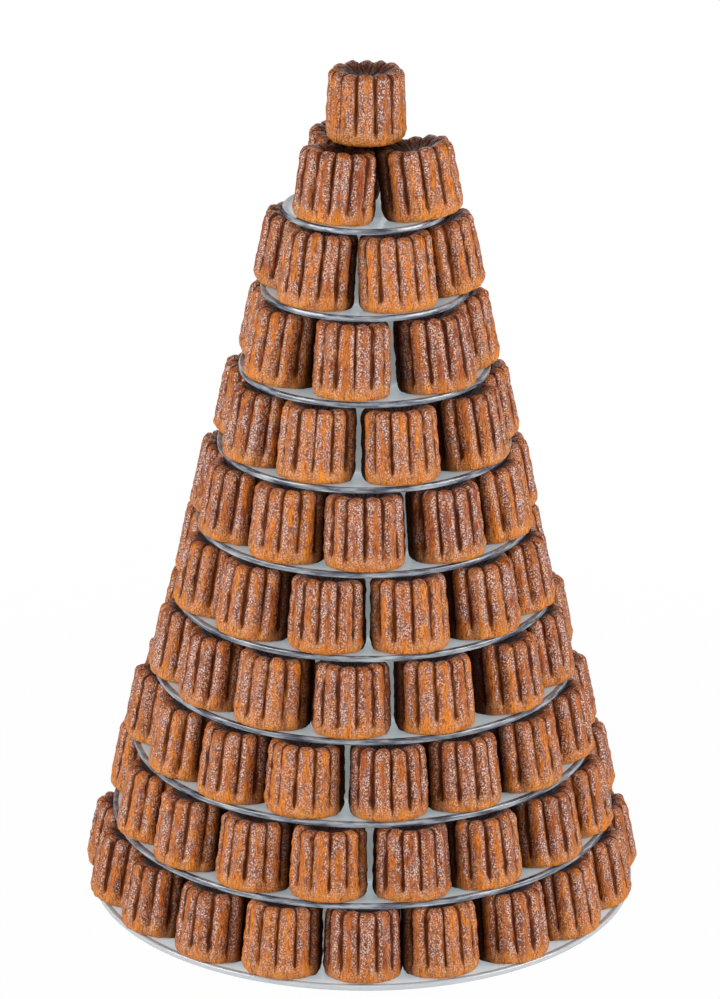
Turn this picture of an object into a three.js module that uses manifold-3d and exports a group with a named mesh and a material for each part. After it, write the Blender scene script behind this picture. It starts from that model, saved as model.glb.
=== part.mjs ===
// A festive tower of small fluted cakes on a ten-tray display stand, in millimetres, +Z up.
// The origin is the middle of the stand's flat foot, and -Y is the front.
// Every tray is a shallow dish with a column that carries the tray above. The cakes stand round
// each column on the sloping floor of the dish, so they lean inward.

import * as THREE from 'three';
import Module from 'manifold-3d';

const wasm = await Module();
wasm.setup();

// Stand
const TRAY_COUNT = 10;
const TOP_RIM_RADIUS = 48.5;
const RIM_RADIUS_STEP = 13.0;
const TOP_PITCH = 48.1; // from the rim of the top tray down to the rim of the next one
const PITCH_STEP = 0.28; // how much closer each following pair of trays stands
const RIM_HEIGHT = 3.3;
const SHEET = 1.6;
const DISH_SLOPE = THREE.MathUtils.degToRad(9.5);
const WELL_INSET = 51.5; // from the outer edge of the ring of cakes in to the flat well of the dish
const TOP_WELL_RADIUS = 8.0;
const TRAY_SIDES = 20;

// Cakes
const FLUTES = 12;
const FOOT_RADIUS = 22.6;
const RIDGE_RADIUS = 20.4; // at the shoulder, over a flute's ridge
const GROOVE_DEPTH = 2.4;
const CREST_RADIUS = 14.8;
const SHOULDER_DROP = 5.5;
const DIMPLE_DEPTH = 4.0;
const CAKE_OVERHANG = 4.5; // past the rim
const LOWEST_OVERHANG = 2.7;
const STOUT_RIDGE_RADIUS = 21.4; // the same of the highest four cakes, which taper less
const TRIO_HEIGHT = 41.9; // on the top tray
const TOP_CAKE_HEIGHT = 41.8;
const TOP_CAKE_LIFT = 44.3; // over the lower edge of the top tray's rim
const SIZE_SPREAD = 0.03;
const HEIGHT_SPREAD = 0.8;

// Clearances
const GAP = 0.3;
const CROWN_GAP = 0.45;
const MELD = 0.5; // how far the soft feet of touching neighbours sink into each other
const TOUCHING_WIDTH = 46.0; // between the middles of two touching feet
const MERGE_TOLERANCE = 0.2; // for the small faces where touching cakes meet

// The cakes of each tray from the top down, in runs of touching cakes: the direction of the
// first cake, in degrees from the front towards +X, how many cakes the run has, and how much
// further out than usual it stands.
const RINGS = [
  [[-37.7, 1], [70, 1, 5], [208, 1]],
  [[-102.5, 2, 1], [27, 1, -0.5], [88, 1, 4.5], [160, 1]],
  [[-110, 2, -1], [-8, 1], [47, 2, 1.5], [146, 2]],
  [[-62.8, 2], [18, 1], [60, 2, 1.5], [138, 2], [217, 2]],
  [[-97.5, 3], [0.5, 1], [36.5, 3], [141, 2], [217, 1]],
  [[-70, 2], [-12.8, 1], [16.6, 1], [46.5, 2], [108.8, 3], [199.4, 3]],
  [[-78, 3], [-3.8, 1], [23, 1], [51.5, 2], [103.5, 7]],
  [[-60, 3], [7.2, 2], [52, 3], [118.2, 3], [187, 5]],
  [[-68.5, 2], [-28.2, 2], [12.4, 2], [53.4, 2], [97.9, 3], [164, 6]],
  [[-36.8, 2, 1], [0.3, 2, -1.7], [37.2, 3, 1], [92.8, 3, 2], [151, 6], [268.4, 3, 2]],
];

const cakeColours = ['#a4622b', '#8d4f26', '#b56d2c', '#7e4524'];
const trayMaterial = new THREE.MeshStandardMaterial({ color: '#aebcc4', roughness: 0.2, metalness: 0 });

const noise = (n) => {
  const wave = Math.sin(n * 12.9898) * 43758.5453;
  return wave - Math.floor(wave);
};
const spread = (n) => 2 * noise(n) - 1;

const floorRise = Math.tan(DISH_SLOPE);
const rimRadius = (tray) => TOP_RIM_RADIUS + RIM_RADIUS_STEP * (tray - 1);
const overhang = (tray) => (tray === TRAY_COUNT ? LOWEST_OVERHANG : CAKE_OVERHANG);
const wellRadius = (tray) => Math.max(TOP_WELL_RADIUS, rimRadius(tray) + overhang(tray) - WELL_INSET);
const wellFloor = (tray) => RIM_HEIGHT - (rimRadius(tray) - wellRadius(tray)) * floorRise;
const pitchAbove = (tray) => TOP_PITCH - PITCH_STEP * (tray - 2);

// Height of each rim's lower edge above the surface that the stand rests on.
function rimLevel(tray) {
  let level = SHEET - wellFloor(TRAY_COUNT);
  for (let below = TRAY_COUNT; below > tray; below -= 1) level += pitchAbove(below);
  return level;
}

function trayGeometry(tray) {
  const rim = rimRadius(tray);
  const well = wellRadius(tray);
  const profile = [
    [0, wellFloor(tray) - SHEET],
    [well, wellFloor(tray) - SHEET],
    [rim, 0],
    [rim, RIM_HEIGHT],
    [well, wellFloor(tray)],
  ];
  if (tray === 1) {
    profile.push([0, wellFloor(tray)]);
  } else {
    const top = pitchAbove(tray) + wellFloor(tray - 1) - SHEET - GAP;
    profile.push([wellRadius(tray - 1), top], [0, top]);
  }
  const points = profile.map(([r, z]) => new THREE.Vector2(r, z));
  return new THREE.LatheGeometry(points, TRAY_SIDES).rotateX(Math.PI / 2);
}

// One fluted cake: a round foot, ridges and grooves that deepen up to the shoulder, and a crest
// round a dimple. Towards each side, foot and shoulder reach out at most as far as they have room,
// and where a neighbour touches the foot, one of its corners points right at that neighbour.
function cakeGeometry({ height, size, yaw, sides, ridge = RIDGE_RADIUS }) {
  const positions = [];
  const index = [];
  const turn = (2 * Math.PI) / FLUTES;
  const corner = (radius, angle, z) => positions.push(radius * Math.cos(angle), radius * Math.sin(angle), z);
  const awayFrom = (direction, angle) => Math.atan2(Math.sin(direction - angle), Math.cos(direction - angle));
  const within = (radius, angle, room) => sides.reduce((limit, side) => {
    const away = awayFrom(side.direction, angle);
    return Math.abs(away) < 2 * turn ? Math.min(limit, side[room] / Math.cos(away)) : limit;
  }, radius);

  for (let i = 0; i < FLUTES; i += 1) {
    const angle = yaw + i * turn;
    const meeting = sides.find(({ touching, direction }) => touching
      && Math.abs(awayFrom(direction, angle)) < turn / 2);
    if (meeting) corner(meeting.foot, meeting.direction, 0);
    else corner(within(FOOT_RADIUS * size, angle, 'foot'), angle, 0);
  }
  for (let i = 0; i < 2 * FLUTES; i += 1) {
    const angle = yaw + (i * turn) / 2;
    const radius = (i % 2 ? ridge - GROOVE_DEPTH : ridge) * size;
    corner(within(radius, angle, 'shoulder'), angle, height - SHOULDER_DROP);
  }
  for (let i = 0; i < FLUTES; i += 1) corner(CREST_RADIUS * size, yaw + i * turn, height);
  positions.push(0, 0, height - DIMPLE_DEPTH);

  const foot = (i) => i % FLUTES;
  const shoulder = (i) => FLUTES + (i % (2 * FLUTES));
  const crest = (i) => 3 * FLUTES + (i % FLUTES);
  const dimple = 4 * FLUTES;
  for (let i = 1; i < FLUTES - 1; i += 1) index.push(foot(0), foot(i + 1), foot(i));
  for (let i = 0; i < FLUTES; i += 1) {
    const ridge = shoulder(2 * i);
    const groove = shoulder(2 * i + 1);
    const nextRidge = shoulder(2 * i + 2);
    index.push(foot(i), foot(i + 1), groove, foot(i), groove, ridge, foot(i + 1), nextRidge, groove);
    index.push(crest(i), groove, crest(i + 1), crest(i), ridge, groove, crest(i + 1), groove, nextRidge);
    index.push(crest(i), crest(i + 1), dimple);
  }
  const geometry = new THREE.BufferGeometry();
  geometry.setAttribute('position', new THREE.Float32BufferAttribute(positions, 3));
  geometry.setIndex(index);
  return geometry;
}

function toSolid(geometry) {
  const vertProperties = new Float32Array(geometry.attributes.position.array);
  const triVerts = new Uint32Array(geometry.index.array);
  return new wasm.Manifold(new wasm.Mesh({ numProp: 3, vertProperties, triVerts }));
}

function toGeometry(solid) {
  const { vertProperties, triVerts } = solid.getMesh();
  const geometry = new THREE.BufferGeometry();
  geometry.setAttribute('position', new THREE.BufferAttribute(vertProperties, 3));
  geometry.setIndex(new THREE.BufferAttribute(triVerts, 1));
  return geometry;
}

// Where the cakes of a tray stand, in the frame of its rim. A flat foot on a conical floor
// touches it at its two sides, so it stands a little higher than its middle would.
function seatOf(tray, out) {
  const lean = DISH_SLOPE;
  const radius = rimRadius(tray) + overhang(tray) + out - FOOT_RADIUS * Math.cos(lean);
  const sideRadius = Math.hypot(radius, FOOT_RADIUS) / Math.cos(Math.PI / TRAY_SIDES);
  const level = RIM_HEIGHT + GAP - (rimRadius(tray) - sideRadius) * floorRise;
  const room = tray === 1 ? TRIO_HEIGHT : (pitchAbove(tray) - RIM_HEIGHT + GAP - CROWN_GAP) / Math.cos(lean);
  const lift = (sideRadius - radius) * floorRise;
  return { lean, radius, level, height: room - (tray === 1 ? 0 : lift) };
}

// The turn from one cake of a run to the next, and the directions of its first and last cake.
function spanOf(tray, [direction, count, out = 0]) {
  const step = 2 * Math.asin(TOUCHING_WIDTH / 2 / seatOf(tray, out).radius);
  const first = THREE.MathUtils.degToRad(direction);
  return { step, first, last: first + (count - 1) * step };
}

// Builds one run of touching cakes as a single solid, in the frame of its tray's rim.
function runGeometry(tray, runs, run, firstSerial) {
  const [, count, out = 0] = runs[run];
  const { lean, radius, level, height } = seatOf(tray, out);
  const shoulderRadius = radius - (height - SHOULDER_DROP) * Math.sin(lean);
  const { step, first, last } = spanOf(tray, runs[run]);
  const nearby = (other) => spanOf(tray, runs[(other + runs.length) % runs.length]);
  const circle = (angle) => THREE.MathUtils.euclideanModulo(angle, 2 * Math.PI);
  const before = circle(first - nearby(run - 1).last);
  const after = circle(nearby(run + 1).first - last);
  let solid = null;

  for (let i = 0; i < count; i += 1) {
    const serial = firstSerial + i;
    const sides = [[i < count - 1, after, 1], [i > 0, before, -1]].map(([touching, open, way]) => {
      const half = (touching ? step : open) / 2;
      const foot = radius * Math.sin(half) + (touching ? MELD : -GAP) / 2;
      const shoulder = shoulderRadius * Math.sin(half) - GAP / 2;
      return { direction: way * (Math.PI / 2 + half), foot, shoulder, touching };
    });
    const geometry = cakeGeometry({
      height: height - HEIGHT_SPREAD * noise(serial + 0.3),
      size: 1 + SIZE_SPREAD * spread(serial + 0.1),
      yaw: tray === 1 ? Math.PI / FLUTES : noise(serial + 0.4),
      sides,
      ridge: tray === 1 ? STOUT_RIDGE_RADIUS : RIDGE_RADIUS,
    });
    const place = new THREE.Object3D();
    const cake = new THREE.Object3D();
    place.rotation.z = first + i * step - Math.PI / 2;
    cake.position.set(radius, 0, level);
    cake.rotation.y = -lean;
    place.add(cake);
    place.updateMatrixWorld(true);
    const placed = toSolid(geometry.applyMatrix4(cake.matrixWorld));
    solid = solid ? solid.add(placed) : placed;
  }
  return toGeometry(solid.asOriginal().simplify(MERGE_TOLERANCE));
}

function cakeMaterial(serial) {
  const color = cakeColours[serial % cakeColours.length];
  return new THREE.MeshStandardMaterial({ color, roughness: 0.45, metalness: 0 });
}

const tower = new THREE.Group();
let serial = 1;
RINGS.forEach((runs, i) => {
  const tray = i + 1;
  const tier = new THREE.Group();
  tier.position.z = rimLevel(tray);
  const plate = new THREE.Mesh(trayGeometry(tray), trayMaterial.clone());
  plate.name = `tray_${tray}`;
  tier.add(plate);
  runs.forEach(([, count], run) => {
    const cakes = new THREE.Mesh(runGeometry(tray, runs, run, serial), cakeMaterial(serial));
    cakes.name = `cakes_${tray}_${run + 1}`;
    tier.add(cakes);
    serial += count;
  });
  tower.add(tier);
});

// The last cake stands upright on the crests of the three below it.
const topCake = new THREE.Mesh(
  cakeGeometry({ height: TOP_CAKE_HEIGHT, size: 1, yaw: 0, sides: [], ridge: STOUT_RIDGE_RADIUS }),
  cakeMaterial(serial),
);
topCake.name = 'cake_top';
topCake.position.z = rimLevel(1) + TOP_CAKE_LIFT;
tower.add(topCake);

export default tower;
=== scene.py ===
"""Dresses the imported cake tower: fluted caramelised cakes in rings on a clear stand of dished trays.

Everything is in metres, +Z up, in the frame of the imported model, and the front is -Y. The trays
and the rings of cakes on them are counted from the top.
"""

import math
from collections import namedtuple

import bpy
import numpy as np
from bpy.props import FloatProperty, FloatVectorProperty, IntProperty, PointerProperty
from mathutils import Matrix, Vector


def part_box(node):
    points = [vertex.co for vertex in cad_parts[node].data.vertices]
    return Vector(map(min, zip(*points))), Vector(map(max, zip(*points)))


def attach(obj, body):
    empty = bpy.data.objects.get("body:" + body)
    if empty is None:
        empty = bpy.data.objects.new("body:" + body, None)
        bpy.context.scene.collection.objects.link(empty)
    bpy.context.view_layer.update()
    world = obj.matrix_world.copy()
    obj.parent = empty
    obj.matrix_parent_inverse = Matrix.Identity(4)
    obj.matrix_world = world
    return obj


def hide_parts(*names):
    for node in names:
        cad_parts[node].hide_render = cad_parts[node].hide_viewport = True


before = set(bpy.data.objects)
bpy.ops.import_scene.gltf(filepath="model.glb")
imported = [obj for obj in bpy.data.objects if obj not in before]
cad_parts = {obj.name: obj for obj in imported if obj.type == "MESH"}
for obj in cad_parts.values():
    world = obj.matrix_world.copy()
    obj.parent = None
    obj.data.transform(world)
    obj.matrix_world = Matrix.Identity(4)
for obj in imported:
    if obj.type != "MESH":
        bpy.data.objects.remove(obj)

bl_info = {
    "name": "Cake tower",
    "version": (1, 0, 0),
    "blender": (4, 5, 0),
    "location": "3D View > Sidebar > Cake tower",
    "description": "Builds a tower of fluted cakes on a clear tiered stand",
    "category": "Add Mesh",
}

MILLIMETRE = 0.001
QUARTER_TURN = math.pi / 2
FULL_TURN = 2 * math.pi

# The cakes of each tray from the top down, in runs of touching cakes: the direction of the first
# cake, in degrees from the front towards +X, how many cakes the run has, and how many millimetres
# further out than usual it stands.
RINGS = (
    ((-37.7, 1, 0), (70, 1, 5), (208, 1, 0)),
    ((-102.5, 2, 1), (27, 1, -0.5), (88, 1, 4.5), (160, 1, 0)),
    ((-110, 2, -1), (-8, 1, 0), (47, 2, 1.5), (146, 2, 0)),
    ((-62.8, 2, 0), (18, 1, 0), (60, 2, 1.5), (138, 2, 0), (217, 2, 0)),
    ((-97.5, 3, 0), (0.5, 1, 0), (36.5, 3, 0), (141, 2, 0), (217, 1, 0)),
    ((-70, 2, 0), (-12.8, 1, 0), (16.6, 1, 0), (46.5, 2, 0), (108.8, 3, 0), (199.4, 3, 0)),
    ((-78, 3, 0), (-3.8, 1, 0), (23, 1, 0), (51.5, 2, 0), (103.5, 7, 0)),
    ((-60, 3, 0), (7.2, 2, 0), (52, 3, 0), (118.2, 3, 0), (187, 5, 0)),
    ((-68.5, 2, 0), (-28.2, 2, 0), (12.4, 2, 0), (53.4, 2, 0), (97.9, 3, 0), (164, 6, 0)),
    ((-36.8, 2, 1), (0.3, 2, -1.7), (37.2, 3, 1), (92.8, 3, 2), (151, 6, 0), (268.4, 3, 2)),
)

# How dark a cake was baked, from 0, golden, to 1, mauve brown, by its tray, run and place in the
# run. The others vary by chance.
BAKES = {
    (2, 2, 1): 0.1, (2, 3, 1): 0.25, (3, 1, 2): 0.25, (3, 3, 1): 0.75, (4, 1, 2): 0.15,
    (5, 2, 1): 0.6, (5, 3, 1): 0.9, (5, 3, 2): 0.2, (6, 1, 2): 0.2, (6, 2, 1): 0.65,
    (6, 3, 1): 0.2, (7, 1, 3): 0.15, (7, 2, 1): 0.65, (8, 1, 3): 0.15, (9, 2, 2): 0.2,
    (9, 3, 1): 0.85, (9, 3, 2): 0.3, (10, 1, 2): 0.05, (10, 2, 1): 0.75, (10, 2, 2): 0.3,
}
CHANCE_BAKES = (0.15, 0.75)
TOP_BAKE = 0.35

# The studio lamps: name, place, the point that each faces, width of its square, power in watts.
LAMPS = (
    ("softbox_left", (-1.6, -0.8, 0.6), (0, 0, 0.25), 1.3, 34.5),
    ("softbox_right", (1.6, -0.8, 0.6), (0, 0, 0.25), 1.3, 34.5),
    ("softbox_top", (0, -1.3, 1.7), (0, 0, 0.2), 0.8, 9.0),
    ("softbox_back", (0, 1.6, 1.0), (0, 0, 0.25), 1.4, 8.0),
)


# ---------------------------------------------------------------- settings

def metres(name, description, default):
    """A size that a user can change."""
    return FloatProperty(
        name=name, description=description, default=default, subtype="DISTANCE", unit="LENGTH")


def degrees(name, description, default):
    """An angle that a user can change, with its default in degrees."""
    return FloatProperty(
        name=name, description=description, default=math.radians(default),
        subtype="ANGLE", unit="ROTATION")


def display_colour(red, green, blue):
    """A linear colour with full alpha from its 0 to 255 display values."""
    channels = [c / 255 for c in (red, green, blue)]
    return tuple(c / 12.92 if c <= 0.04045 else ((c + 0.055) / 1.055) ** 2.4 for c in channels) + (1.0,)


def paint(name, description, *display):
    """A colour that a user can change, from its 0 to 255 display values."""
    return FloatVectorProperty(
        name=name, description=description, default=display_colour(*display), size=4,
        min=0.0, max=1.0, subtype="COLOR")


class StandSettings(bpy.types.PropertyGroup):
    """Sizes of the tiered stand"""

    top_rim_radius: metres("Top rim radius", "Radius of the highest tray", 0.0485)
    rim_radius_step: metres("Rim step", "How much wider each next tray is", 0.013)
    top_pitch: metres("Top pitch", "Height between the two highest rims", 0.0481)
    pitch_step: metres("Pitch step", "How much closer each next pair of trays is", 0.00028)
    rim_height: metres("Rim height", "Height of the band round each tray", 0.0033)
    edge_softness: metres("Edge softness", "Radius of the band's rounded edges", 0.0007)
    sheet: metres("Sheet", "Thickness of the tray's sheet", 0.0016)
    dish_slope: degrees("Dish slope", "Slope of a tray's floor", 9.5)
    well_inset: metres("Well inset", "From the ring's outer edge in to the flat well", 0.0515)
    top_well_radius: metres("Top well radius", "Flat well of the highest tray", 0.008)
    collar: metres("Collar", "Height of the straight collar at each end of a column", 0.0022)
    gap: metres("Gap", "Clearance between two pieces", 0.0003)


class CakeSettings(bpy.types.PropertyGroup):
    """Sizes of one fluted cake and of its place on a tray"""

    flutes: IntProperty(name="Flutes", description="Ridges round one cake", default=12)
    foot_radius: metres("Foot radius", "Radius of the plain form's foot", 0.0226)
    ridge_radius: metres("Ridge radius", "Radius over the ridges at the shoulder", 0.0213)
    stout_ridge_radius: metres(
        "Stout ridge radius", "Ridge radius of the highest four, which taper less", 0.0214)
    groove_depth: metres("Groove depth", "Depth of the grooves between ridges", 0.0030)
    foot_inset: metres("Foot inset", "How far the rounded lower edge runs in", 0.0032)
    foot_rise: metres("Foot rise", "Height of the widest place over the foot", 0.0060)
    shoulder_round: metres("Shoulder rounding", "Radius of the knob at each ridge's top", 0.0050)
    swell: metres("Swell", "How far the dough swells past the plain form", 0.0010)
    dimple_depth: metres("Dimple depth", "Depth of the hollow in the crown", 0.0055)
    overhang: metres("Overhang", "How far a foot reaches past the rim", 0.0045)
    lowest_overhang: metres("Lowest overhang", "The same on the lowest tray", 0.0027)
    touching_width: metres("Touching width", "Between the middles of touching feet", 0.046)
    trio_height: metres("Trio height", "Height of the cakes on the highest tray", 0.0419)
    top_height: metres("Top cake height", "Height of the single cake on top", 0.0418)
    size_spread: FloatProperty(
        name="Size spread", description="How much the cakes differ in width", default=0.03,
        subtype="FACTOR")
    height_spread: metres("Height spread", "How much the cakes differ in height", 0.0008)
    seed: IntProperty(name="Seed", description="Start of the random draws", default=7)


class FinishSettings(bpy.types.PropertyGroup):
    """Colours of the crust and of the stand"""

    golden_dark: paint("Golden, dark", "Dark mottle of a lightly baked skin", 164, 76, 14)
    golden_light: paint("Golden, light", "Light mottle of a lightly baked skin", 238, 144, 48)
    brown_dark: paint("Brown, dark", "Dark mottle of a well baked skin", 100, 40, 16)
    brown_light: paint("Brown, light", "Light mottle of a well baked skin", 176, 88, 38)
    # Painted highlights: the pale amber and rose beads stand in for the shine on the glazing; the
    # caramel between them is its own colour.
    amber_painted_highlight: paint("Amber sugar", "Beads of sugar on the warmer patches", 232, 164, 112)
    rose_painted_highlight: paint("Rose sugar", "Beads of sugar on the cooler patches", 214, 180, 162)
    caramel: paint("Caramel", "Glaze between the beads of sugar", 122, 54, 26)
    foot_gold: paint("Foot gold", "Lighter skin low on a cake", 222, 142, 44)
    # painted shade at the bottom of the grooves
    groove: paint("Groove", "Bottom of the grooves", 64, 24, 11)
    streak: paint("Streak", "Dark streaks along the flutes", 66, 26, 12)
    grain: paint("Grain", "Dark specks all over", 60, 22, 10)
    knob: paint("Knob", "Tops of the ridges", 140, 62, 20)
    dimple: paint("Dimple", "Hollow in the crown", 70, 30, 16)
    # painted shade: the near-black side of a cake hidden behind a neighbour
    painted_shade: paint("Tuck", "Side tucked away behind a neighbour", 36, 12, 6)
    sheet: paint("Sheet", "Clear sheet of the trays", 206, 216, 220)
    edge_dark: paint("Edge, dark", "Dark streaks along a tray's edge", 62, 68, 84)
    # painted reflections: lighter streaks along a tray's edge
    edge_painted_reflection: paint("Edge, light", "Light streaks along a tray's edge", 176, 186, 192)
    # painted light: the lowest edge lighter, as if the white surroundings showed through it
    lowest_edge_painted_light: paint("Lowest edge", "Edge of the lowest tray", 184, 190, 194)
    column_dark: paint("Column, dark", "Darker clouds of the frosted columns", 198, 200, 198)
    column_light: paint("Column, light", "Lighter clouds of the frosted columns", 226, 228, 226)


class StageSettings(bpy.types.PropertyGroup):
    """Camera, floor and light"""

    distance: metres("Distance", "From the camera to its aim", 2.628)
    elevation: degrees("Elevation", "Camera height angle", 20.5)
    roll: degrees("Roll", "Turn about the line of sight", 0.27)
    lens: FloatProperty(
        name="Lens", description="Focal length in millimetres", default=158.56)
    aim_side: metres("Aim side", "Aim point along X", -0.00236)
    aim_height: metres("Aim height", "Aim point along Z", 0.24976)
    floor_reach: metres("Floor reach", "From the middle of the floor to its sides", 6.0)
    fill_light: FloatProperty(
        name="Fill light", description="Strength of the even light from all sides", default=0.08)


# ---------------------------------------------------------------- places

SOLID_TRAY_SIDES = 20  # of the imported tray, whose flat sides lift a foot a little

# Where the cakes of a run stand: how far they lean in, the radius of the ring through the middles
# of their feet, the height of those over the rim's lower edge, and how tall a cake may be.
Seat = namedtuple("Seat", "lean ring level height")

# A neighbour of a cake: the direction to it, half the turn round the tower between the two, and
# the lean and ring radius of both.
Neighbour = namedtuple("Neighbour", "direction half lean ring")


class Stand:
    """Places on the stand, worked out from the settings"""

    def __init__(self, scene):
        self.sizes = scene.tower_stand
        self.cake = scene.tower_cake
        self.count = len(RINGS)
        self.rise = math.tan(self.sizes.dish_slope)

    def rim(self, tray):
        return self.sizes.top_rim_radius + self.sizes.rim_radius_step * (tray - 1)

    def overhang(self, tray):
        return self.cake.lowest_overhang if tray == self.count else self.cake.overhang

    def well(self, tray):
        """Radius of the flat middle of a tray."""
        foot_edge = self.rim(tray) + self.overhang(tray)
        return max(self.sizes.top_well_radius, foot_edge - self.sizes.well_inset)

    def well_floor(self, tray):
        """Height of the flat middle over the rim's lower edge."""
        return self.sizes.rim_height - (self.rim(tray) - self.well(tray)) * self.rise

    def pitch_above(self, tray):
        return self.sizes.top_pitch - self.sizes.pitch_step * (tray - 2)

    def level(self, tray):
        """Height of a rim's lower edge."""
        level = self.sizes.sheet - self.well_floor(self.count)
        return level + sum(self.pitch_above(below) for below in range(tray + 1, self.count + 1))

    def seat(self, tray, out):
        """The Seat of a run that stands so many millimetres further out than usual."""
        lean = self.sizes.dish_slope
        foot = self.cake.foot_radius
        ring = self.rim(tray) + self.overhang(tray) + out * MILLIMETRE - foot * math.cos(lean)
        side = math.hypot(ring, foot) / math.cos(math.pi / SOLID_TRAY_SIDES)
        level = self.sizes.rim_height + self.sizes.gap - (self.rim(tray) - side) * self.rise
        if tray == 1:
            return Seat(lean, ring, level, self.cake.trio_height)
        room = self.pitch_above(tray) - self.sizes.rim_height - 0.5 * self.sizes.gap
        return Seat(lean, ring, level, room / math.cos(lean) - (side - ring) * self.rise)

    def span(self, tray, run):
        """The turn from one cake of a run to the next, and the directions of its first and last."""
        direction, count, out = run
        step = 2 * math.asin(self.cake.touching_width / 2 / self.seat(tray, out).ring)
        first = math.radians(direction)
        return step, first, first + (count - 1) * step

    def gaps(self, tray, number):
        """The turns from a run's first cake back to the run before it, and from its last one on."""
        runs = RINGS[tray - 1]
        _, first, last = self.span(tray, runs[number - 1])
        _, _, last_before = self.span(tray, runs[number - 2])
        _, first_after, _ = self.span(tray, runs[number % len(runs)])
        return (first - last_before) % FULL_TURN, (first_after - last) % FULL_TURN


# Two numbers that scatter the draws.
DRAW_TURN = 12.9898
DRAW_STRETCH = 43758.5453


def even_draw(number):
    """A draw from 0 to 1 that is always the same for the same number."""
    wave = math.sin(number * DRAW_TURN) * DRAW_STRETCH
    return wave - math.floor(wave)


# ---------------------------------------------------------------- meshes

def make_piece(name, points, faces, materials, face_materials=None, attributes=None):
    """A smooth mesh object, with a material number for each face and values for each point."""
    mesh = bpy.data.meshes.new(name)
    mesh.from_pydata(points, [], faces)
    for material in materials:
        mesh.materials.append(material)
    if face_materials is not None:
        mesh.polygons.foreach_set("material_index", face_materials)
    mesh.polygons.foreach_set("use_smooth", [True] * len(mesh.polygons))
    for key, values in (attributes or {}).items():
        mesh.attributes.new(key, "FLOAT", "POINT").data.foreach_set("value", values)
    mesh.update()
    piece = bpy.data.objects.new(name, mesh)
    bpy.context.scene.collection.objects.link(piece)
    return piece


def lathe(section, sides):
    """A closed surface of revolution. The section starts and ends on the axis."""
    turns = [FULL_TURN * i / sides for i in range(sides)]
    inner = section[1:-1]
    points = [(r * math.cos(turn), r * math.sin(turn), z) for r, z in inner for turn in turns]
    points += [(0, 0, section[0][1]), (0, 0, section[-1][1])]
    first, last = len(points) - 2, len(points) - 1
    faces = []
    for j in range(sides):
        k = (j + 1) % sides
        faces.append((first, k, j))
        for row in range(len(inner) - 1):
            a = row * sides
            faces.append((a + j, a + k, a + sides + k, a + sides + j))
        faces.append((last, first - sides + j, first - sides + k))
    return points, faces


def rounded(middle_r, middle_z, radius, start, steps=3):
    """Points of a quarter circle in a section, from the angle start on, anticlockwise."""
    return [
        (middle_r + radius * math.cos(start + QUARTER_TURN * i / steps),
         middle_z + radius * math.sin(start + QUARTER_TURN * i / steps))
        for i in range(steps + 1)
    ]


# ---------------------------------------------------------------- stand

TRAY_SIDES = 160
COLUMN_SIDES = 96
BAND_FOOT = (0.0028, 0.0001)  # how far in from the rim and how far down the band starts
BAND_LIP = (0.0032, 0.0025)  # how far in from the rim the floor starts, and how much of that slopes
COLUMN_INSET = 0.0006  # how much narrower than the well a column's foot is
NECK_RISE = 0.003
NECK_SHARE = 0.12  # of the difference between a column's two ends


def tray_section(stand, tray):
    """Half the section of a tray in three stretches: underside, edge band and floor."""
    sizes = stand.sizes
    base = stand.level(tray)
    top = base + sizes.rim_height
    floor = base + stand.well_floor(tray)
    rim = stand.rim(tray)
    well = stand.well(tray)
    soft = sizes.edge_softness
    under = [(0, floor - sizes.sheet), (well, floor - sizes.sheet)]
    under += [(rim - BAND_FOOT[0], base - BAND_FOOT[1])]
    band = rounded(rim - soft, base + soft, soft, -QUARTER_TURN)
    band += rounded(rim - soft, top - soft, soft, 0.0)
    over = [(rim - BAND_LIP[0], top - BAND_LIP[1] * stand.rise), (well, floor), (0, floor)]
    return under, band, over


def tray_piece(stand, tray, sheet, edge):
    """A clear dished tray. The faces that touch its upright band have the edge's finish."""
    under, band, over = tray_section(stand, tray)
    section = under + band + over
    points, faces = lathe(section, TRAY_SIDES)
    on_band = range(len(under) - 1, len(under) + len(band))
    finishes = [1 if row in on_band else 0 for row in range(len(section) - 1)] * TRAY_SIDES
    return make_piece(f"tray_{tray}_sheet", points, faces, [sheet, edge], finishes)


def column_piece(stand, tray, frosted):
    """The frosted column from a tray up to the next, with a straight collar at each end."""
    sizes = stand.sizes
    low = stand.level(tray) + stand.well_floor(tray) + sizes.gap
    high = stand.level(tray - 1) + stand.well_floor(tray - 1) - sizes.sheet - sizes.gap
    foot = stand.well(tray) - COLUMN_INSET
    head = stand.well(tray - 1)
    neck = stand.well(tray) - NECK_SHARE * (stand.well(tray) - head)
    section = [(0, low), (foot, low), (foot, low + sizes.collar), (neck, low + NECK_RISE)]
    section += [(0.5 * (neck + head), 0.5 * (low + high))]
    section += [(head, high - sizes.collar), (head, high), (0, high)]
    points, faces = lathe(section, COLUMN_SIDES)
    return make_piece(f"tray_{tray}_column", points, faces, [frosted])


# ---------------------------------------------------------------- cakes

# Points across one flute, from the groove at -1 over the ridge at 0 to the next groove at 1.
FLUTE_STEPS = (-1.0, -0.84, -0.6, -0.31, 0.0, 0.31, 0.6, 0.84)
RIDGE_POWER = 0.95  # below 1 the ridges are broad and the grooves narrow

# How much the flutes of one cake differ.
RIDGE_WANDER = 0.09  # in half flutes, to either side
GROOVE_SHARES = (0.85, 1.15)  # least and greatest share of the usual depth
FLUTE_BAKE_SPREAD = 0.16
RIDGE_SPREAD = 0.0003  # outwards
KNOB_SPREAD = 0.00045  # upwards

# Uneven swelling of the dough: waves in all directions, and roughness from point to point.
LUMP_WAVES = 10
LUMP_LENGTHS = (0.0035, 0.010)
LUMP_HEIGHT = 0.00009
ROUGH_OUT = 0.0001
ROUGH_UP = 0.00008

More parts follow.
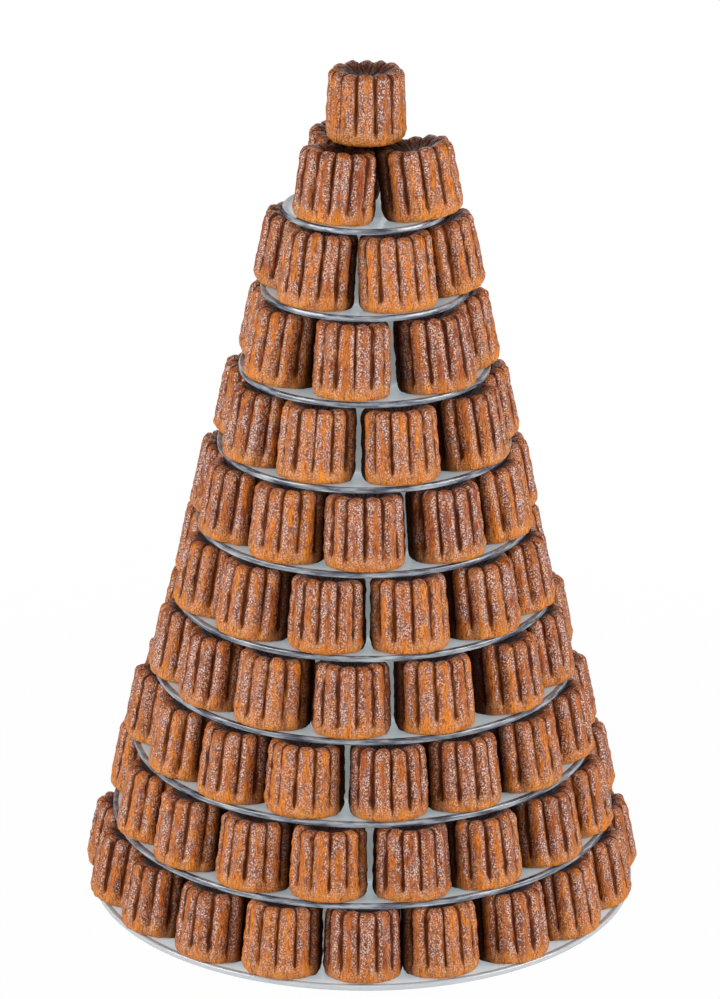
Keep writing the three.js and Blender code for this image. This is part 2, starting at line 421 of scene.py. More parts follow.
# The rings of points up one cake.
UNDERSIDE_SHARE = 0.55  # of the foot's radius, where the inner ring of the flat underside lies
FOOT_STEPS = 5
FOOT_EVENNESS = 0.8  # below 1 the rings lie closer together where the foot is widest
FOOT_GROOVE = (0.15, 0.6)  # share of the groove depth at the bottom and the top of the foot
WALL_STEPS = 13
WALL_EVENNESS = 1.15  # above 1 the rings lie closer together near the foot
WALL_TAPER = 1.1  # above 1 the wall is steeper near the foot
GROOVE_RUN = 0.0040  # how far over the widest place the grooves have their full depth
SHOULDER_STEPS = 5
SHOULDER_FADE = 0.3  # share of the groove depth lost over the shoulder
KNOB_DROP = 0.0022  # how far the crown's edge dips between two knobs
# Inwards over the dimple: shares of the crown's radius, of the dimple's depth and of the grooves'.
DIMPLE_ROWS = (
    (0.87, 0.08, 0.65),
    (0.74, 0.32, 0.55),
    (0.6, 0.62, 0.45),
    (0.42, 0.86, 0.2),
    (0.2, 0.98, 0.0),
)

# Sides that touch or face a neighbour.
PRESSED_ANGLE = math.radians(60)  # how far round from the neighbour a side may be cut off flat
PRESSED_GAP = 0.0001  # half of the clearance between two touching cakes
PAINTED_SHADE_ANGLE = math.radians(36)  # how far from facing the neighbour a side starts to get painted shade
PAINTED_SHADE_WIDTH = math.radians(22)  # the turn over which the painted shade comes in
DIMPLE_PAINTED_SHADE = 0.5  # share of the painted shade inside the dimple

# Low on the cake the grooves are shallow, and their marks fade towards this ridge value.
LOW_WALL = 0.02
LOW_RIDGE = 0.9

# One ring of points: radius, height, share of the groove depth, how much it belongs to the foot,
# and how far over the crown it lies, from 0 on the wall over 1 on the knobs to 2 in the dimple.
Row = namedtuple("Row", "radius height groove foot crown")

# What the crust's finish reads at each point, with its values in the middle of the underside and
# of the dimple: how far up a ridge it is, foot and crown as in a Row, how much painted shade it gets
# where it is tucked away behind a neighbour, and how dark it was baked.
MARKS = {
    "ridge": (0.85, 0.4),
    "foot": (1.0, 0.0),
    "crown": (0.0, 2.0),
    "painted_shade": (0.0, 0.5),
    "bake": (0.0, 0.0),
}


class CakeShape:
    """The surface of one cake as rings of points, from the middle of its foot to its dimple"""

    def __init__(self, cake, height, size, yaw, rng, neighbours, stout=False):
        self.cake = cake
        self.height = height
        self.foot = (cake.foot_radius + cake.swell) * size
        ridge = cake.stout_ridge_radius if stout else cake.ridge_radius
        self.shoulder = (ridge + cake.swell) * size
        self.rng = rng
        self.neighbours = neighbours
        self.make_flutes(yaw)
        self.make_lumps()
        self.painted_shade = self.painted_shade_mask()

    def make_flutes(self, yaw):
        """Direction, ridge height and small differences for each point round the cake."""
        flutes = self.cake.flutes
        across = np.tile(np.array(FLUTE_STEPS), flutes)
        number = np.repeat(np.arange(flutes), len(FLUTE_STEPS))
        on_ridge = 1 - across ** 2
        wander = self.rng.normal(0, RIDGE_WANDER, flutes)[number] * on_ridge
        self.angle = yaw + (number + 0.5 * across + 0.5 * wander) * FULL_TURN / flutes
        self.ridge = np.cos(across * QUARTER_TURN) ** RIDGE_POWER
        self.groove = self.rng.uniform(*GROOVE_SHARES, flutes)[number]
        self.bake = self.rng.normal(0, FLUTE_BAKE_SPREAD, flutes)[number]
        self.ridge_out = self.rng.normal(0, RIDGE_SPREAD, flutes)[number] * on_ridge
        self.knob_up = self.rng.normal(0, KNOB_SPREAD, flutes)[number] * on_ridge

    def make_lumps(self):
        """Waves in all directions that swell the dough unevenly."""
        directions = self.rng.normal(0, 1, (LUMP_WAVES, 3))
        lengths = self.rng.uniform(*LUMP_LENGTHS, LUMP_WAVES)
        units = directions / np.linalg.norm(directions, axis=1)[:, None]
        self.waves = units * FULL_TURN / lengths[:, None]
        self.phases = self.rng.uniform(0, FULL_TURN, LUMP_WAVES)

    def painted_shade_mask(self):
        """How much shade is painted on each point round the cake: 0 in the open, 1 where a neighbour
        hides it.
        """
        bearing = np.arctan2(np.sin(self.angle), np.cos(self.angle))
        hidden = 0 * bearing
        for side in self.neighbours:
            start = QUARTER_TURN + side.half - PAINTED_SHADE_ANGLE
            beyond = np.copysign(1, side.direction) * bearing - start
            hidden = np.maximum(hidden, np.clip(beyond / PAINTED_SHADE_WIDTH, 0, 1))
        return hidden

    def around(self, out, up):
        """Points at the given distances from the axis and heights."""
        return np.stack([out * np.cos(self.angle), out * np.sin(self.angle), up], axis=1)

    def foot_band(self, height):
        return max(0.0, 1 - height / (2 * self.cake.foot_rise))

    def foot_rows(self):
        """The underside and the rounded lower edge."""
        rows = [Row(self.foot * UNDERSIDE_SHARE, 0.0, 0.0, 1.0, 0.0)]
        shallow, deep = FOOT_GROOVE
        for i in range(FOOT_STEPS + 1):
            turn = QUARTER_TURN * (i / FOOT_STEPS) ** FOOT_EVENNESS
            height = self.cake.foot_rise * (1 - math.cos(turn))
            inset = self.cake.foot_inset * (1 - math.sin(turn))
            groove = shallow + (deep - shallow) * (i / FOOT_STEPS)
            rows.append(Row(self.foot - inset, height, groove, self.foot_band(height), 0.0))
        return rows

    def wall_rows(self):
        """The fluted wall, which tapers from the foot to the shoulder."""
        low = self.cake.foot_rise
        high = self.height - self.cake.shoulder_round
        shallow = FOOT_GROOVE[1]
        rows = []
        for i in range(1, WALL_STEPS + 1):
            share = (i / WALL_STEPS) ** WALL_EVENNESS
            height = low + (high - low) * share
            run = min(1.0, (height - low) / GROOVE_RUN)
            groove = shallow + (1 - shallow) * run * (2 - run)
            radius = self.foot - (self.foot - self.shoulder) * share ** WALL_TAPER
            rows.append(Row(radius, height, groove, self.foot_band(height), 0.0))
        return rows

    def crown_rows(self):
        """The knobs on the ridges' ends and the dimple between them."""
        knob = self.cake.shoulder_round
        low = self.height - knob
        crest = self.shoulder - knob
        rows = []
        for i in range(1, SHOULDER_STEPS + 1):
            turn = QUARTER_TURN * i / SHOULDER_STEPS
            groove = 1 - SHOULDER_FADE * i / SHOULDER_STEPS
            radius = crest + knob * math.cos(turn)
            rows.append(Row(radius, low + knob * math.sin(turn), groove, 0.0, i / SHOULDER_STEPS))
        for share, down, groove in DIMPLE_ROWS:
            height = self.height - self.cake.dimple_depth * down
            rows.append(Row(crest * share, height, groove, 0.0, 2 - share))
        return rows

    def ring(self, row):
        """The points of one ring."""
        count = len(self.angle)
        share = min(1.0, row.radius / self.cake.ridge_radius)
        knob = min(1.0, row.crown)
        out = row.radius - self.cake.groove_depth * self.groove * row.groove * (1 - self.ridge)
        out = out + self.ridge_out * row.groove + self.rng.normal(0, ROUGH_OUT, count) * share
        up = row.height - knob * row.groove * (KNOB_DROP * (1 - self.ridge) - self.knob_up)
        lumps = LUMP_HEIGHT * np.sin(self.around(out, up) @ self.waves.T + self.phases).sum(axis=1)
        out = out + lumps * share
        if row.height > 0:
            up = up + lumps * knob + self.rng.normal(0, ROUGH_UP, count)
        return self.around(self.pressed(out, row.height), up)

    def pressed(self, out, height):
        """Distances from the axis, cut off half way to each neighbour."""
        for side in self.neighbours:
            turn = side.direction - self.angle
            away = np.arctan2(np.sin(turn), np.cos(turn))
            room = (side.ring - height * math.sin(side.lean)) * math.sin(side.half) - PRESSED_GAP
            near = np.abs(away) < PRESSED_ANGLE
            limit = np.where(near, room / np.cos(np.where(near, away, 0)), np.inf)
            out = np.minimum(out, limit)
        return out

    def marks(self, row):
        """The marks of one ring's points."""
        count = len(self.angle)
        ridge = self.ridge
        if row.height < LOW_WALL:
            ridge = ridge * row.groove + (1 - row.groove) * LOW_RIDGE
        return {
            "ridge": ridge,
            "foot": np.full(count, row.foot),
            "crown": np.full(count, row.crown),
            "painted_shade": self.painted_shade * (1.0 if row.crown <= 1 else DIMPLE_PAINTED_SHADE),
            "bake": self.bake,
        }

    def faces(self, rings):
        """Quads between the rings, and triangles to the middle of the foot and of the dimple."""
        wide = len(self.angle)
        j = np.arange(wide)
        k = (j + 1) % wide
        faces = []
        for ring in range(rings - 1):
            a = ring * wide
            faces += np.stack([a + j, a + k, a + wide + k, a + wide + j], axis=1).tolist()
        foot_middle, dimple_middle = rings * wide, rings * wide + 1
        inmost = (rings - 1) * wide
        faces += [(foot_middle, int(b), int(a)) for a, b in zip(j, k)]
        faces += [(dimple_middle, inmost + int(a), inmost + int(b)) for a, b in zip(j, k)]
        return faces

    def surface(self):
        """Points, faces and marks of the whole cake."""
        rows = self.foot_rows() + self.wall_rows() + self.crown_rows()
        points = [self.ring(row) for row in rows]
        middles = [(0, 0, 0), (0, 0, self.height - self.cake.dimple_depth)]
        points = np.concatenate(points + [np.array(middles)])
        rings = [self.marks(row) for row in rows]
        marks = {key: np.concatenate([ring[key] for ring in rings] + [MARKS[key]]) for key in MARKS}
        return points, self.faces(len(rows)), marks


def cake_piece(name, placed, crust):
    """One piece of several placed cakes, each given as (CakeShape, matrix, bake)."""
    points, faces = [], []
    marks = {key: [] for key in MARKS}
    count = 0
    for shape, place, bake in placed:
        local, local_faces, local_marks = shape.surface()
        local_marks["bake"] = local_marks["bake"] + bake
        points.append(local @ np.array(place.to_3x3()).T + np.array(place.translation))
        faces += [tuple(i + count for i in face) for face in local_faces]
        for key, parts in marks.items():
            parts.append(local_marks[key])
        count += len(local)
    joined = {key: np.concatenate(parts) for key, parts in marks.items()}
    return make_piece(name, np.concatenate(points).tolist(), faces, [crust], attributes=joined)


# Which draw of a cake's own number sets what.
WIDTH_DRAW = 0.1
HEIGHT_DRAW = 0.3
YAW_DRAW = 0.4


def ring_cake(stand, tray, seat, serial, left, right, rng):
    """The shape of one cake of a ring, from half the turns to its neighbours on both sides."""
    cake = stand.cake
    neighbours = [
        Neighbour(QUARTER_TURN + right, right, seat.lean, seat.ring),
        Neighbour(-QUARTER_TURN - left, left, seat.lean, seat.ring),
    ]
    height = seat.height - cake.height_spread * even_draw(serial + HEIGHT_DRAW)
    size = 1 + cake.size_spread * (2 * even_draw(serial + WIDTH_DRAW) - 1)
    yaw = math.pi / cake.flutes if tray == 1 else even_draw(serial + YAW_DRAW)
    return CakeShape(cake, height, size, yaw, rng, neighbours, stout=tray == 1)


def ring_place(stand, tray, seat, direction):
    """Where a cake of a ring stands, leaning in."""
    return (
        Matrix.Rotation(direction - QUARTER_TURN, 4, "Z")
        @ Matrix.Translation((seat.ring, 0, stand.level(tray) + seat.level))
        @ Matrix.Rotation(-seat.lean, 4, "Y")
    )


def placed_run(stand, tray, number, serial):
    """The cakes of one run as (CakeShape, matrix, bake). serial is the first one's own number."""
    run = RINGS[tray - 1][number - 1]
    _, count, out = run
    seat = stand.seat(tray, out)
    step, first, _ = stand.span(tray, run)
    before, after = stand.gaps(tray, number)
    placed = []
    for i in range(count):
        rng = np.random.default_rng((stand.cake.seed, serial + i))
        left = (step if i > 0 else before) / 2
        right = (step if i < count - 1 else after) / 2
        shape = ring_cake(stand, tray, seat, serial + i, left, right, rng)
        bake = BAKES.get((tray, number, i + 1), rng.uniform(*CHANCE_BAKES))
        placed.append((shape, ring_place(stand, tray, seat, first + i * step), bake))
    return placed


# ---------------------------------------------------------------- materials

class NodeTree:
    """Short calls to lay out the nodes of a material or a world"""

    def __init__(self, owner):
        owner.use_nodes = True
        self.tree = owner.node_tree
        self.tree.nodes.clear()

    def add(self, kind, inputs=None, **values):
        """A node whose inputs are linked to the given sockets or hold the given values."""
        node = self.tree.nodes.new(kind)
        for key, value in values.items():
            setattr(node, key, value)
        for key, value in (inputs or {}).items():
            if isinstance(value, bpy.types.NodeSocket):
                self.tree.links.new(value, node.inputs[key])
            else:
                node.inputs[key].default_value = value
        return node

    def maths(self, operation, a, b, clamp=False):
        return self.add("ShaderNodeMath", {0: a, 1: b}, operation=operation, use_clamp=clamp).outputs[0]

    def plus(self, a, b, clamp=False):
        return self.maths("ADD", a, b, clamp)

    def minus(self, a, b, clamp=False):
        return self.maths("SUBTRACT", a, b, clamp)

    def times(self, a, b):
        return self.maths("MULTIPLY", a, b)

    def swing(self, noise, strength):
        """A noise's departure from its middle, made so much stronger."""
        return self.times(self.minus(noise, 0.5), strength)

    def place(self):
        return self.add("ShaderNodeTexCoord").outputs["Object"]

    def stretched(self, place, upright):
        """The place with its height scaled, so that a value under 1 draws patterns out upright."""
        return self.add("ShaderNodeMapping", {"Vector": place, "Scale": (1.0, 1.0, upright)}).outputs[0]

    def mark(self, name):
        return self.add("ShaderNodeAttribute", attribute_name=name).outputs["Fac"]

    def noise(self, place, scale, detail=2.0, roughness=0.5):
        inputs = {"Vector": place, "Scale": scale, "Detail": detail, "Roughness": roughness}
        return self.add("ShaderNodeTexNoise", inputs).outputs["Fac"]

    def spread(self, value, low, high):
        """0 where the value is low, 1 where it is high."""
        inputs = {"Value": value, "From Min": low, "From Max": high}
        return self.add("ShaderNodeMapRange", inputs, clamp=True).outputs["Result"]

    def between(self, value, low, high):
        """Low where the value is 0, high where it is 1."""
        inputs = {"Value": value, "To Min": low, "To Max": high}
        return self.add("ShaderNodeMapRange", inputs, clamp=True).outputs["Result"]

    def mix(self, factor, a, b):
        inputs = {0: factor, 6: a, 7: b}
        return self.add("ShaderNodeMix", inputs, data_type="RGBA", clamp_factor=True).outputs[2]

    def coat(self, skin, mask, cover, strength):
        """A skin covered with another colour where the mask is 1, as strongly as given."""
        return self.mix(self.times(mask, strength), skin, cover)

    def shaders(self, factor, a, b):
        return self.add("ShaderNodeMixShader", {0: factor, 1: a, 2: b}).outputs[0]

    def ray(self, kind):
        return self.add("ShaderNodeLightPath").outputs[kind]

    def finish(self, surface, output="ShaderNodeOutputMaterial"):
        self.add(output, {"Surface": surface})


# Grains of the crust, in waves for each metre. All but the patches, the grain and the beads are
# drawn out upright.
UPRIGHT = 0.16
PATCH_SCALE = 120.0
DRIFT_SCALE = 210.0
BAND_SCALE = 330.0
STREAK_SCALE = 760.0
BEAD_SCALE = 900.0
MOTTLE_SCALE = 1150.0
GRAIN_SCALE = 1300.0
BUMP_DEPTH = 0.00055

# Values of a noise or a mark between which a layer of the crust comes in. At the first there is
# nothing of it and at the second all of it.
FLANK_RISE = (0.26, 0.48)  # heights up a ridge
FLANK_FALL = (1.04, 0.84)
# painted shade in the grooves
GROOVE_SHADE_RANGE = (0.5, 0.14)
BAND_RANGE = (0.31, 0.42)
MOTTLE_RANGE = (0.32, 0.68)
# Painted highlights on the glazing: which of the two colours, and where the beads lie.
ROSE_HIGHLIGHT_RANGE = (0.42, 0.58)
HIGHLIGHT_BEAD_RANGE = (0.58, 0.28)
FOOT_RANGE = (0.35, 0.75)
STREAK_RANGE = (0.46, 0.3)
GRAIN_RANGE = (0.45, 0.3)
KNOB_RANGE = (0.2, 1.0)
DIMPLE_RANGE = (0.9, 1.3)


class Crust:
    """The caramelised crust: amber ridges, glazed flanks whose pale beads are painted highlights, and
    dark grooves of painted shade
    """

    def __init__(self, tree, paints):
        self.tree = tree
        self.paints = paints
        place = tree.place()
        upright = tree.stretched(place, UPRIGHT)
        self.foot = tree.mark("foot")
        self.crown = tree.mark("crown")
        self.painted_shade = tree.mark("painted_shade")
        self.patches = tree.noise(place, PATCH_SCALE, detail=3.0, roughness=0.6)
        self.streaks = tree.noise(upright, STREAK_SCALE, roughness=0.55)
        self.mottle = tree.noise(upright, MOTTLE_SCALE, roughness=0.6)
        self.grain = tree.noise(place, GRAIN_SCALE, roughness=0.6)
        cells = tree.add("ShaderNodeTexVoronoi", {"Vector": place, "Scale": BEAD_SCALE}, feature="F1")
        self.beads = cells.outputs["Distance"]
        self.bake = self.baked()
        height = self.flute_height(tree.noise(upright, DRIFT_SCALE))
        self.groove = tree.spread(height, *GROOVE_SHADE_RANGE)
        self.glazing_and_highlight = self.place_glazing_and_highlight(height, tree.noise(upright, BAND_SCALE, detail=1.0))

    def baked(self):
        """How dark the skin is, less towards the foot."""
        tree = self.tree
        bake = tree.plus(tree.mark("bake"), tree.swing(self.patches, 1.8))
        return tree.minus(bake, tree.times(self.foot, 0.7), clamp=True)

    def flute_height(self, drifts):
        """How far up a ridge a point is, with a ragged line between ridge and groove."""
        tree = self.tree
        height = tree.plus(tree.mark("ridge"), tree.swing(self.streaks, 0.5))
        return tree.plus(height, tree.swing(drifts, 0.9))

    def place_glazing_and_highlight(self, height, bands):
        """Where the glazing and its painted highlights lie: on the flanks, less on the foot, in broken
        bands, more if dark.
        """
        tree = self.tree
        glazing_and_highlight = tree.times(tree.spread(height, *FLANK_RISE), tree.spread(height, *FLANK_FALL))
        glazing_and_highlight = tree.times(glazing_and_highlight, tree.minus(0.95, tree.times(self.foot, 0.5)))
        glazing_and_highlight = tree.times(glazing_and_highlight, tree.spread(bands, *BAND_RANGE))
        return tree.times(glazing_and_highlight, tree.plus(0.86, tree.times(self.bake, 0.32)))

    def skin(self):
        """The bare skin, golden to brown."""
        tree, paints = self.tree, self.paints
        mottle = tree.spread(self.mottle, *MOTTLE_RANGE)
        golden = tree.mix(mottle, paints.golden_dark, paints.golden_light)
        brown = tree.mix(mottle, paints.brown_dark, paints.brown_light)
        return tree.mix(self.bake, golden, brown)

    def caramel_and_painted_highlight(self):
        """Caramel with pale beads, which are painted highlights."""
        tree, paints = self.tree, self.paints
        painted_highlight = tree.mix(tree.spread(self.patches, *ROSE_HIGHLIGHT_RANGE), paints.amber_painted_highlight, paints.rose_painted_highlight)
        return tree.mix(tree.spread(self.beads, *HIGHLIGHT_BEAD_RANGE), paints.caramel, painted_highlight)

    def colour(self):
        """The skin under all of its coats, among them painted shade in the grooves and on sides hidden
        by a neighbour.
        """
        tree, paints = self.tree, self.paints
        skin = tree.mix(self.glazing_and_highlight, self.skin(), self.caramel_and_painted_highlight())
        patchy_foot = tree.times(self.foot, tree.spread(self.patches, *FOOT_RANGE))
        skin = tree.mix(patchy_foot, skin, paints.foot_gold)
        # painted shade darkens the groove bottoms
        skin = tree.coat(skin, self.groove, paints.groove, strength=0.92)
        skin = tree.coat(skin, tree.spread(self.streaks, *STREAK_RANGE), paints.streak, strength=0.6)
        skin = tree.coat(skin, tree.spread(self.grain, *GRAIN_RANGE), paints.grain, strength=0.5)
        skin = tree.coat(skin, tree.spread(self.crown, *KNOB_RANGE), paints.knob, strength=0.3)
        skin = tree.coat(skin, tree.spread(self.crown, *DIMPLE_RANGE), paints.dimple, strength=0.9)
        # painted shade on the sides hidden by a neighbour
        return tree.coat(skin, self.painted_shade, paints.painted_shade, strength=0.92)

    def roughness(self):
        """Smooth on the glazing, dull where shade is painted on beside a neighbour."""
        tree = self.tree
        return tree.plus(tree.between(self.glazing_and_highlight, 0.46, 0.26), tree.times(self.painted_shade, 0.5), clamp=True)

    def shine(self):
        """Strong on the glazing, weak in the grooves and where shade is painted on beside a neighbour.
        """
        tree = self.tree
        shine = tree.between(self.glazing_and_highlight, 0.2, 0.85)
        shine = tree.times(shine, tree.minus(1.0, tree.times(self.painted_shade, 0.8)))
        return tree.times(shine, tree.minus(1.0, tree.times(self.groove, 0.6)))

    def bump(self):
        """Mottle, streaks and grain, with the beads standing out."""
        tree = self.tree
        lumps = tree.minus(tree.times(self.mottle, 0.8), tree.times(self.beads, 0.7))
        lumps = tree.plus(lumps, tree.times(self.streaks, 0.7))
        lumps = tree.plus(lumps, tree.times(self.grain, 0.15))
        inputs = {"Height": lumps, "Strength": 1.0, "Distance": BUMP_DEPTH}
        return tree.add("ShaderNodeBump", inputs).outputs[0]


def crust_material(paints):
    """Caramelised crust of the cakes."""
    material = bpy.data.materials.new("caramel_crust")
    tree = NodeTree(material)
    crust = Crust(tree, paints)
    surface = tree.add("ShaderNodeBsdfPrincipled", {
        "Base Color": crust.colour(),
        "Roughness": crust.roughness(),
        "Specular IOR Level": crust.shine(),
        "Normal": crust.bump(),
    })
    tree.finish(surface.outputs[0])
    return material


SHEET_COVER = 0.6  # how much the sheet hides of what is behind it
SHEET_SHADOW = 0.75  # how much of its shadow is taken away
# painted glow: the sheet gives off a little light of its own, though it is no lamp
SHEET_GLOW = 0.3
SHEET_CLEAR = (0.93, 0.95, 0.97, 1.0)
WEAR_SCALE = 60.0
WEAR_LIGHTENS = 1.12


def sheet_material(paints):
    """Clear sheet that tints what is behind it a little, lets light through to the inside and glows a
    little with painted light.
    """
    material = bpy.data.materials.new("clear_sheet")
    tree = NodeTree(material)
    wear = tree.noise(tree.place(), WEAR_SCALE, detail=3.0, roughness=0.6)
    worn = tuple(min(1.0, c * WEAR_LIGHTENS) for c in paints.sheet[:3]) + (1.0,)
    tone = tree.mix(tree.spread(wear, 0.35, 0.7), paints.sheet, worn)
    surface = tree.add("ShaderNodeBsdfPrincipled", {
        "Base Color": tone, "Roughness": tree.between(wear, 0.08, 0.2), "IOR": 1.46,
        "Specular IOR Level": 0.6, "Emission Color": tone, "Emission Strength": SHEET_GLOW,
    }).outputs[0]
    clear = tree.add("ShaderNodeBsdfTransparent", {"Color": SHEET_CLEAR}).outputs[0]
    seen = tree.shaders(SHEET_COVER, clear, surface)
    shadow = tree.times(tree.ray("Is Shadow Ray"), SHEET_SHADOW)
    tree.finish(tree.shaders(shadow, seen, clear))
    return material


# Painted reflections: lighter streaks along the edge.
EDGE_REFLECTION_SCALE = 55.0
EDGE_REFLECTION_FLATNESS = 9.0
LOWEST_EDGE = (0.03, 0.015)  # heights between which the edge takes on the lowest tray's lighter colour, painted light of the white surroundings showing through


def edge_material(paints):
    """Polished edge of a clear tray, steel grey with lighter streaks of painted reflection along it,
    and painted light on the lowest tray's edge.
    """
    material = bpy.data.materials.new("tray_edge")
    tree = NodeTree(material)
    place = tree.place()
    along = tree.stretched(place, EDGE_REFLECTION_FLATNESS)
    streaks = tree.noise(along, EDGE_REFLECTION_SCALE, detail=3.0, roughness=0.6)
    tone = tree.mix(tree.spread(streaks, 0.4, 0.7), paints.edge_dark, paints.edge_painted_reflection)
    height = tree.add("ShaderNodeSeparateXYZ", {0: place}).outputs[2]
    tone = tree.mix(tree.spread(height, *LOWEST_EDGE), tone, paints.lowest_edge_painted_light)
    surface = tree.add("ShaderNodeBsdfPrincipled", {
        "Base Color": tone, "Roughness": 0.12, "IOR": 1.5, "Specular IOR Level": 1.0,
    })
    tree.finish(surface.outputs[0])
    return material


COLUMN_CLOUD_SCALE = 45.0
# painted glow: the columns give off a little light of their own, though they are no lamp
COLUMN_GLOW = 0.2
COLUMN_GLOW_COLOUR = (0.9, 0.93, 0.92, 1.0)


def frosted_material(paints):
    """Pale frosted columns in the middle of the stand, glowing a little with painted light."""
    material = bpy.data.materials.new("frosted_column")
    tree = NodeTree(material)
    clouds = tree.noise(tree.place(), COLUMN_CLOUD_SCALE, detail=3.0)
    tone = tree.mix(tree.spread(clouds, 0.35, 0.7), paints.column_dark, paints.column_light)
    surface = tree.add("ShaderNodeBsdfPrincipled", {
        "Base Color": tone, "Roughness": 0.45, "Specular IOR Level": 0.5,
        "Emission Color": COLUMN_GLOW_COLOUR, "Emission Strength": COLUMN_GLOW,
    })
    tree.finish(surface.outputs[0])
    return material


FLOOR_CLOUD_SCALE = 3.0
FLOOR_GREYS = ((0.80, 0.80, 0.80, 1.0), (0.84, 0.84, 0.84, 1.0))
WHITE = (1.0, 1.0, 1.0, 1.0)
SHADOW_REACH = (0.25, 0.7)  # distances from the middle over which the floor's shadow fades out
SHADOW_WHITE = (0.975, 1.0)  # how white the floor shows at them


def floor_material():
    """Studio floor that shows as plain white, with only a faint shadow."""
    material = bpy.data.materials.new("studio_floor")
    tree = NodeTree(material)
    place = tree.place()
    tone = tree.mix(tree.noise(place, FLOOR_CLOUD_SCALE), *FLOOR_GREYS)
    matt = tree.add("ShaderNodeBsdfDiffuse", {"Color": tone}).outputs[0]
    white = tree.add("ShaderNodeEmission", {"Color": WHITE, "Strength": 1.0}).outputs[0]
    away = tree.add("ShaderNodeVectorMath", {0: place}, operation="LENGTH").outputs["Value"]
    shown = tree.between(tree.spread(away, *SHADOW_REACH), *SHADOW_WHITE)
    seen = tree.times(tree.ray("Is Camera Ray"), shown)
    tree.finish(tree.shaders(seen, matt, white))
    return material


# ---------------------------------------------------------------- stage

COOL_WHITE = (0.96, 0.98, 1.0, 1.0)
SENSOR_WIDTH = 36.0
FAR_CLIP = 50.0


def light_world(scene, strength):
    """A world that shows as white and gives a weak even light."""
    world = bpy.data.worlds.new("studio")
    scene.world = world
    tree = NodeTree(world)
    white = tree.add("ShaderNodeBackground", {"Color": WHITE, "Strength": 1.0}).outputs[0]
    fill = tree.add("ShaderNodeBackground", {"Color": COOL_WHITE, "Strength": strength}).outputs[0]
    tree.finish(tree.shaders(tree.ray("Is Camera Ray"), fill, white), "ShaderNodeOutputWorld")


def add_lamp(name, place, aim, width, power):
    light = bpy.data.lights.new(name, "AREA")
    light.shape = "SQUARE"
    light.size = width
    light.energy = power
    lamp = bpy.data.objects.new(name, light)
    bpy.context.scene.collection.objects.link(lamp)
    way = Vector(aim) - Vector(place)
    lamp.matrix_world = Matrix.Translation(place) @ way.to_track_quat("-Z", "Y").to_matrix().to_4x4()


def add_camera(scene):
    stage = scene.tower_stage
    camera = bpy.data.cameras.new("camera")
    camera.lens = stage.lens
    camera.sensor_width = SENSOR_WIDTH
    camera.sensor_fit = "AUTO"
    camera.clip_end = FAR_CLIP
    eye = bpy.data.objects.new("camera", camera)
    scene.collection.objects.link(eye)
    eye.matrix_world = (
        Matrix.Translation((stage.aim_side, 0, stage.aim_height))
        @ Matrix.Rotation(QUARTER_TURN - stage.elevation, 4, "X")
        @ Matrix.Rotation(stage.roll, 4, "Z")
        @ Matrix.Translation((0, 0, stage.distance))
    )
    scene.camera = eye


# ---------------------------------------------------------------- operators

class TOWER_OT_trays(bpy.types.Operator):
    """Add the clear dished trays and the frosted columns between them"""

    bl_idname = "tower.trays"
    bl_label = "Add trays"

    def execute(self, context):
        stand = Stand(context.scene)
        paints = context.scene.tower_finish
        sheet = sheet_material(paints)
        edge = edge_material(paints)
        frosted = frosted_material(paints)
        for tray in range(1, stand.count + 1):
            disc = tray_piece(stand, tray, sheet, edge)
            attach(disc, "root")
            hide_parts(f"tray_{tray}")
            if tray > 1:
                column = column_piece(stand, tray, frosted)
                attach(column, "root")
                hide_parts(f"tray_{tray}")
        return {"FINISHED"}


class TOWER_OT_cakes(bpy.types.Operator):
    """Add the rings of fluted cakes, one piece for each run of touching cakes"""

    bl_idname = "tower.cakes"
    bl_label = "Add rings of cakes"

    def execute(self, context):
        stand = Stand(context.scene)
        crust = crust_material(context.scene.tower_finish)
        serial = 1
        for tray, runs in enumerate(RINGS, start=1):
            for number in range(1, len(runs) + 1):
                placed = placed_run(stand, tray, number, serial)
                serial += len(placed)
                piece = cake_piece(f"ring_{tray}_run_{number}", placed, crust)
                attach(piece, "root")
                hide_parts(f"cakes_{tray}_{number}")
        return {"FINISHED"}


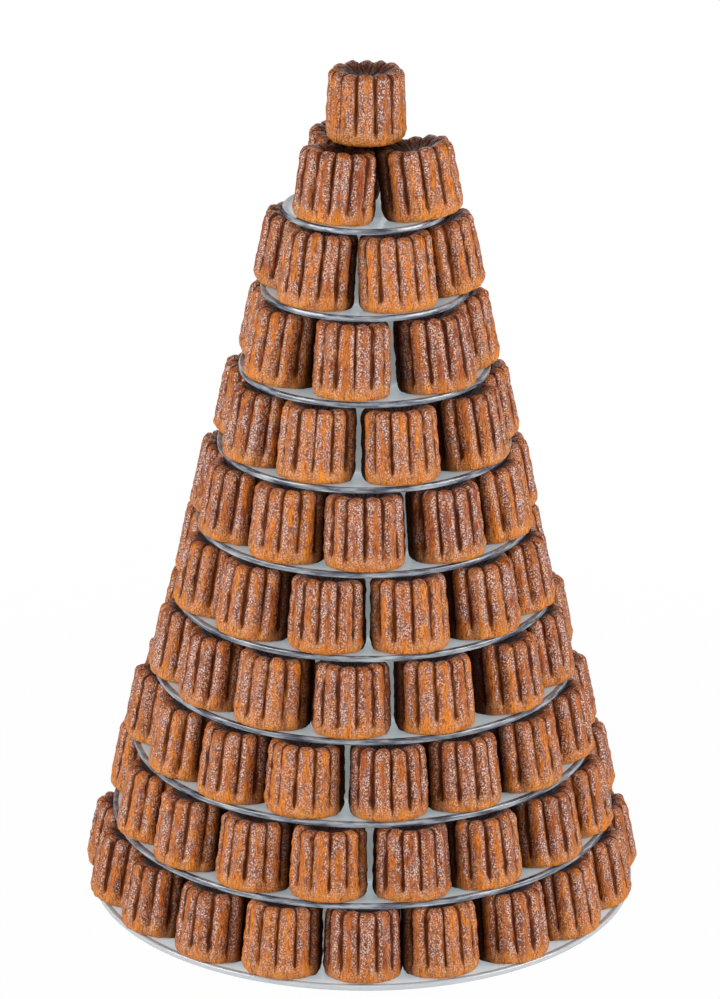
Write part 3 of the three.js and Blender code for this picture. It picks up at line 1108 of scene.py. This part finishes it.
class TOWER_OT_top_cake(bpy.types.Operator):
    """Add the single cake that stands upright on the highest three"""

    bl_idname = "tower.top_cake"
    bl_label = "Add top cake"

    def execute(self, context):
        cake = context.scene.tower_cake
        low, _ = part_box("cake_top")
        rng = np.random.default_rng((cake.seed, 0))
        shape = CakeShape(cake, cake.top_height, 1.0, 0.0, rng, [], stout=True)
        place = Matrix.Translation((0, 0, low[2]))
        crust = bpy.data.materials["caramel_crust"]
        piece = cake_piece("top_cake", [(shape, place, TOP_BAKE)], crust)
        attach(piece, "root")
        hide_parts("cake_top")
        return {"FINISHED"}


class TOWER_OT_stage(bpy.types.Operator):
    """Add the floor, the studio light and the camera"""

    bl_idname = "tower.stage"
    bl_label = "Add stage"

    def execute(self, context):
        scene = context.scene
        reach = scene.tower_stage.floor_reach
        corners = [(-reach, -reach, 0), (reach, -reach, 0), (reach, reach, 0), (-reach, reach, 0)]
        floor = make_piece("floor", corners, [(0, 1, 2, 3)], [floor_material()])
        light_world(scene, scene.tower_stage.fill_light)
        for lamp in LAMPS:
            add_lamp(*lamp)
        add_camera(scene)
        scene.view_settings.view_transform = "Standard"
        return {"FINISHED"}


# ---------------------------------------------------------------- add-on

GROUPS = {
    "tower_stand": StandSettings,
    "tower_cake": CakeSettings,
    "tower_finish": FinishSettings,
    "tower_stage": StageSettings,
}
STEPS = (TOWER_OT_trays, TOWER_OT_cakes, TOWER_OT_top_cake, TOWER_OT_stage)


class TOWER_PT_panel(bpy.types.Panel):
    """Cake tower panel in the sidebar of the 3D view"""

    bl_idname = "TOWER_PT_panel"
    bl_label = "Cake tower"
    bl_space_type = "VIEW_3D"
    bl_region_type = "UI"
    bl_category = "Cake tower"

    def draw(self, context):
        for name, group in GROUPS.items():
            box = self.layout.box()
            for key in group.__annotations__:
                box.prop(getattr(context.scene, name), key)
        for step in STEPS:
            self.layout.operator(step.bl_idname)


CLASSES = tuple(GROUPS.values()) + STEPS + (TOWER_PT_panel,)


def register():
    for cls in CLASSES:
        bpy.utils.register_class(cls)
    for name, group in GROUPS.items():
        setattr(bpy.types.Scene, name, PointerProperty(type=group))


def unregister():
    for name in reversed(GROUPS):
        delattr(bpy.types.Scene, name)
    for cls in reversed(CLASSES):
        bpy.utils.unregister_class(cls)


def main():
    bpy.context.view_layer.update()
    register()
    bpy.ops.tower.trays()
    bpy.ops.tower.cakes()
    bpy.ops.tower.top_cake()
    bpy.ops.tower.stage()


if __name__ == "__main__":
    main()
